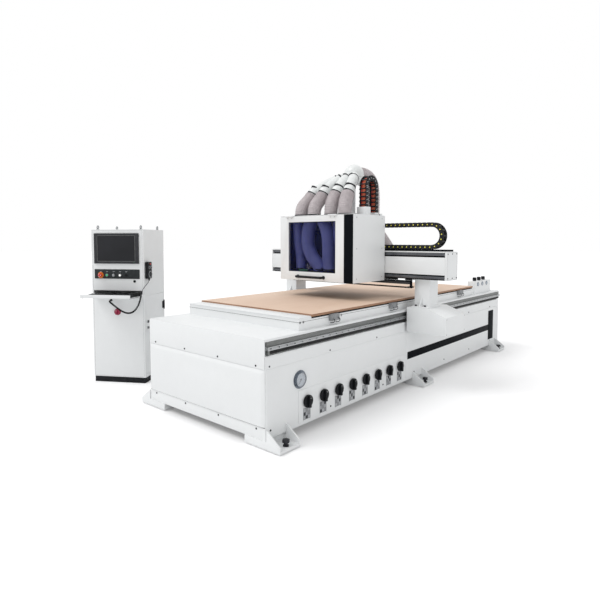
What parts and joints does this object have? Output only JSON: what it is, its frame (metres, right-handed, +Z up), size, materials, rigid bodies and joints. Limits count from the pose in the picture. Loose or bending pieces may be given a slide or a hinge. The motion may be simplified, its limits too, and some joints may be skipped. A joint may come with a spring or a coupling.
{
  "type": "cnc router",
  "caption": "Moving-gantry router table for sheet goods, with a hooded four-spindle head, vacuum valves along the bed and a free-standing control cabinet.",
  "frame": {"origin": "middle of the levelling bolts, on the floor", "axes": "+X to the right across the bed seen from its front end, +Y to the rear end, +Z up"},
  "size_m": [3.0835, 4.4582, 2.162],
  "materials": {
    "powder_coat": "pale cool grey powder coat",
    "zinc_screws": "zinc-plated and black steel",
    "rail_steel": "ground steel",
    "board": "raw medium-density fibreboard",
    "black_trim": "black film and moulded plastic",
    "gauge": "white dial in a grey rim",
    "red_needle": "black needle",
    "black_plastic": "moulded black plastic",
    "black_steel": "black powder coat",
    "chain_plastic": "glass-filled nylon",
    "pipe_plastic": "white moulded pipe",
    "hose": "grey ribbed polyurethane hose",
    "inner_hose": "smooth grey hose",
    "aluminium_plate": "milled plate",
    "tinted_pane": "blue tinted pane",
    "spindle_housing": "anodised housing",
    "spindle_steel": "ground steel nose and nut",
    "red_plastic": "red moulded plastic",
    "green_plastic": "green moulded plastic",
    "grey_plastic": "grey moulded plastic",
    "white_plastic": "white moulded plastic",
    "charcoal": "charcoal frame and panel",
    "cord": "black rubber jacket"
  },
  "bodies": {
    "bed": {"bed_panels": "powder_coat", "bed_covers": "powder_coat", "bed_feet": "powder_coat", "bed_fasteners": "zinc_screws", "y_rails": "rail_steel", "table_frame": "powder_coat", "spoilboard": "board", "side_trim": "black_trim", "gauge_body": "gauge", "cabinet_shell": "powder_coat", "cabinet_plinth": "black_steel", "operator_panel": "charcoal", "pendant_cord": "cord"},
    "stop_pins": {"stop_pins": "zinc_screws"},
    "gauge_needle": {"gauge_needle": "red_needle"},
    "gantry": {"gantry_legs": "powder_coat", "gantry_beam": "powder_coat", "x_chain_lower": "chain_plastic"},
    "chain_bend": {"x_chain_bend": "chain_plastic"},
    "pusher": {"pusher_frame": "black_steel"},
    "head": {"x_carriage": "powder_coat", "dust_pipes": "pipe_plastic", "rear_duct": "hose", "roof_hoses": "hose", "head_chains": "chain_plastic"},
    "chain_loop": {"z_chain_loop": "chain_plastic"},
    "hood": {"hood_shell": "powder_coat", "z_plate": "aluminium_plate", "inner_hoses": "inner_hose", "z_chain_front": "chain_plastic"},
    "hood_door": {"hood_door": "powder_coat", "hood_window": "tinted_pane", "hood_handle": "black_plastic"},
    "cabinet_door": {"cabinet_door": "powder_coat"},
    "keyboard_tray": {"keyboard_tray": "black_plastic"},
    "pendant": {"pendant": "black_plastic"},
    "estop_button": {"estop_button": "red_plastic"},
    "main_switch": {"main_switch": "red_plastic"},
    "valve_knob_1": {"valve_knob_1": "black_plastic"},
    "valve_knob_2": {"valve_knob_2": "black_plastic"},
    "valve_knob_3": {"valve_knob_3": "black_plastic"},
    "valve_knob_4": {"valve_knob_4": "black_plastic"},
    "valve_knob_5": {"valve_knob_5": "black_plastic"},
    "valve_knob_6": {"valve_knob_6": "black_plastic"},
    "valve_knob_7": {"valve_knob_7": "black_plastic"},
    "valve_knob_8": {"valve_knob_8": "black_plastic"},
    "regulator_knob_1": {"regulator_knob_1": "black_plastic"},
    "regulator_knob_2": {"regulator_knob_2": "black_plastic"},
    "regulator_knob_3": {"regulator_knob_3": "black_plastic"},
    "spindle_1": {"spindle_body_1": "spindle_housing"},
    "nose_1": {"spindle_nose_1": "spindle_steel"},
    "spindle_2": {"spindle_body_2": "spindle_housing"},
    "nose_2": {"spindle_nose_2": "spindle_steel"},
    "spindle_3": {"spindle_body_3": "spindle_housing"},
    "nose_3": {"spindle_nose_3": "spindle_steel"},
    "spindle_4": {"spindle_body_4": "spindle_housing"},
    "nose_4": {"spindle_nose_4": "spindle_steel"},
    "start_button": {"start_button": "green_plastic"},
    "pause_button": {"pause_button": "grey_plastic"},
    "reset_button": {"reset_button": "white_plastic"}
  },
  "joints": [
    {"name": "gantry_travel", "type": "slide", "parent": "bed", "child": "gantry", "axis": [0, 1, 0], "range_m": [-1.2, 1.9]},
    {"name": "pusher_lift", "type": "slide", "parent": "gantry", "child": "pusher", "axis": [0, 0, 1], "range_m": [-0.09, 0]},
    {"name": "head_travel", "type": "slide", "parent": "gantry", "child": "head", "axis": [1, 0, 0], "range_m": [-0.6, 0.45], "deforming": ["head_chains"]},
    {"name": "chain_bend_travel", "type": "slide", "parent": "gantry", "child": "chain_bend", "axis": [1, 0, 0], "range_m": [-0.31, 0.235], "deforming": ["x_chain_bend", "x_chain_lower"]},
    {"name": "head_lift", "type": "slide", "parent": "head", "child": "hood", "axis": [0, 0, 1], "range_m": [-0.06, 0.14], "deforming": ["roof_hoses", "z_chain_front"]},
    {"name": "chain_loop_travel", "type": "slide", "parent": "head", "child": "chain_loop", "axis": [0, 0, 1], "range_m": [-0.035, 0.075], "deforming": ["z_chain_loop"]},
    {"name": "hood_door_swing", "type": "hinge", "parent": "hood", "child": "hood_door", "pos_m": [0, -0.7613, 1.626], "axis": [-1, 0, 0], "range_deg": [0, 95]},
    {"name": "stop_pin_lift", "type": "slide", "parent": "bed", "child": "stop_pins", "axis": [0, 0, 1], "range_m": [0, 0.04]},
    {"name": "gauge_needle_turn", "type": "hinge", "parent": "bed", "child": "gauge_needle", "pos_m": [0.71, -1.746, 0.413], "axis": [-1, 0, 0], "range_deg": [0, 270]},
    {"name": "cabinet_door_swing", "type": "hinge", "parent": "bed", "child": "cabinet_door", "pos_m": [-1.51998, -1.38347, 0.5], "axis": [0, 0, 1], "range_deg": [0, 110]},
    {"name": "keyboard_tray_slide", "type": "slide", "parent": "bed", "child": "keyboard_tray", "axis": [-0.5299, 0.848, 0], "range_m": [0, 0.2]},
    {"name": "pendant_lift", "type": "slide", "parent": "bed", "child": "pendant", "axis": [0, 0, 1], "range_m": [0, 0.03]},
    {"name": "main_switch_turn", "type": "hinge", "parent": "bed", "child": "main_switch", "pos_m": [-1.52321, -1.91612, 0.7], "axis": [0.5299, -0.848, 0], "range_deg": [-90, 0]},
    {"name": "valve_turn_1", "type": "hinge", "parent": "bed", "child": "valve_knob_1", "pos_m": [0.71, -1.672, 0.241], "axis": [1, 0, 0], "range_deg": [0, 90]},
    {"name": "valve_turn_2", "type": "hinge", "parent": "bed", "child": "valve_knob_2", "pos_m": [0.71, -1.484, 0.241], "axis": [1, 0, 0], "range_deg": [0, 90]},
    {"name": "valve_turn_3", "type": "hinge", "parent": "bed", "child": "valve_knob_3", "pos_m": [0.71, -1.296, 0.241], "axis": [1, 0, 0], "range_deg": [0, 90]},
    {"name": "valve_turn_4", "type": "hinge", "parent": "bed", "child": "valve_knob_4", "pos_m": [0.71, -1.108, 0.241], "axis": [1, 0, 0], "range_deg": [0, 90]},
    {"name": "valve_turn_5", "type": "hinge", "parent": "bed", "child": "valve_knob_5", "pos_m": [0.71, -0.92, 0.241], "axis": [1, 0, 0], "range_deg": [0, 90]},
    {"name": "valve_turn_6", "type": "hinge", "parent": "bed", "child": "valve_knob_6", "pos_m": [0.71, -0.732, 0.241], "axis": [1, 0, 0], "range_deg": [0, 90]},
    {"name": "valve_turn_7", "type": "hinge", "parent": "bed", "child": "valve_knob_7", "pos_m": [0.71, -0.544, 0.241], "axis": [1, 0, 0], "range_deg": [0, 90]},
    {"name": "valve_turn_8", "type": "hinge", "parent": "bed", "child": "valve_knob_8", "pos_m": [0.71, -0.356, 0.241], "axis": [1, 0, 0], "range_deg": [0, 90]},
    {"name": "regulator_turn_1", "type": "hinge", "parent": "bed", "child": "regulator_knob_1", "pos_m": [0.604, 1.595, 0.92], "axis": [0, 0, 1], "range_deg": [-135, 135]},
    {"name": "regulator_turn_2", "type": "hinge", "parent": "bed", "child": "regulator_knob_2", "pos_m": [0.604, 1.73, 0.92], "axis": [0, 0, 1], "range_deg": [-135, 135]},
    {"name": "regulator_turn_3", "type": "hinge", "parent": "bed", "child": "regulator_knob_3", "pos_m": [0.604, 1.865, 0.92], "axis": [0, 0, 1], "range_deg": [-135, 135]},
    {"name": "spindle_drop_1", "type": "slide", "parent": "hood", "child": "spindle_1", "axis": [0, 0, 1], "range_m": [-0.1, 0]},
    {"name": "spindle_turn_1", "type": "hinge", "parent": "spindle_1", "child": "nose_1", "pos_m": [-0.311, -0.48, 1.118], "axis": [0, 0, -1], "continuous": true},
    {"name": "spindle_drop_2", "type": "slide", "parent": "hood", "child": "spindle_2", "axis": [0, 0, 1], "range_m": [-0.1, 0]},
    {"name": "spindle_turn_2", "type": "hinge", "parent": "spindle_2", "child": "nose_2", "pos_m": [-0.131, -0.48, 1.118], "axis": [0, 0, -1], "continuous": true},
    {"name": "spindle_drop_3", "type": "slide", "parent": "hood", "child": "spindle_3", "axis": [0, 0, 1], "range_m": [-0.1, 0]},
    {"name": "spindle_turn_3", "type": "hinge", "parent": "spindle_3", "child": "nose_3", "pos_m": [0.049, -0.48, 1.118], "axis": [0, 0, -1], "continuous": true},
    {"name": "spindle_drop_4", "type": "slide", "parent": "hood", "child": "spindle_4", "axis": [0, 0, 1], "range_m": [-0.1, 0]},
    {"name": "spindle_turn_4", "type": "hinge", "parent": "spindle_4", "child": "nose_4", "pos_m": [0.229, -0.48, 1.118], "axis": [0, 0, -1], "continuous": true},
    {"name": "start_button_push", "type": "slide", "parent": "bed", "child": "start_button", "axis": [-0.5299, 0.848, 0], "range_m": [0, 0.003], "stiffness_N_per_m": 300},
    {"name": "pause_button_push", "type": "slide", "parent": "bed", "child": "pause_button", "axis": [-0.5299, 0.848, 0], "range_m": [0, 0.003], "stiffness_N_per_m": 300},
    {"name": "reset_button_push", "type": "slide", "parent": "bed", "child": "reset_button", "axis": [-0.5299, 0.848, 0], "range_m": [0, 0.003], "stiffness_N_per_m": 300},
    {"name": "estop_push", "type": "slide", "parent": "bed", "child": "estop_button", "axis": [-0.5299, 0.848, 0], "range_m": [0, 0.004], "stiffness_N_per_m": 600}
  ],
  "couplings": [
    {"joint": "chain_bend_travel", "follows": "head_travel", "ratio": 0.5},
    {"joint": "chain_loop_travel", "follows": "head_lift", "ratio": 0.5}
  ]
}
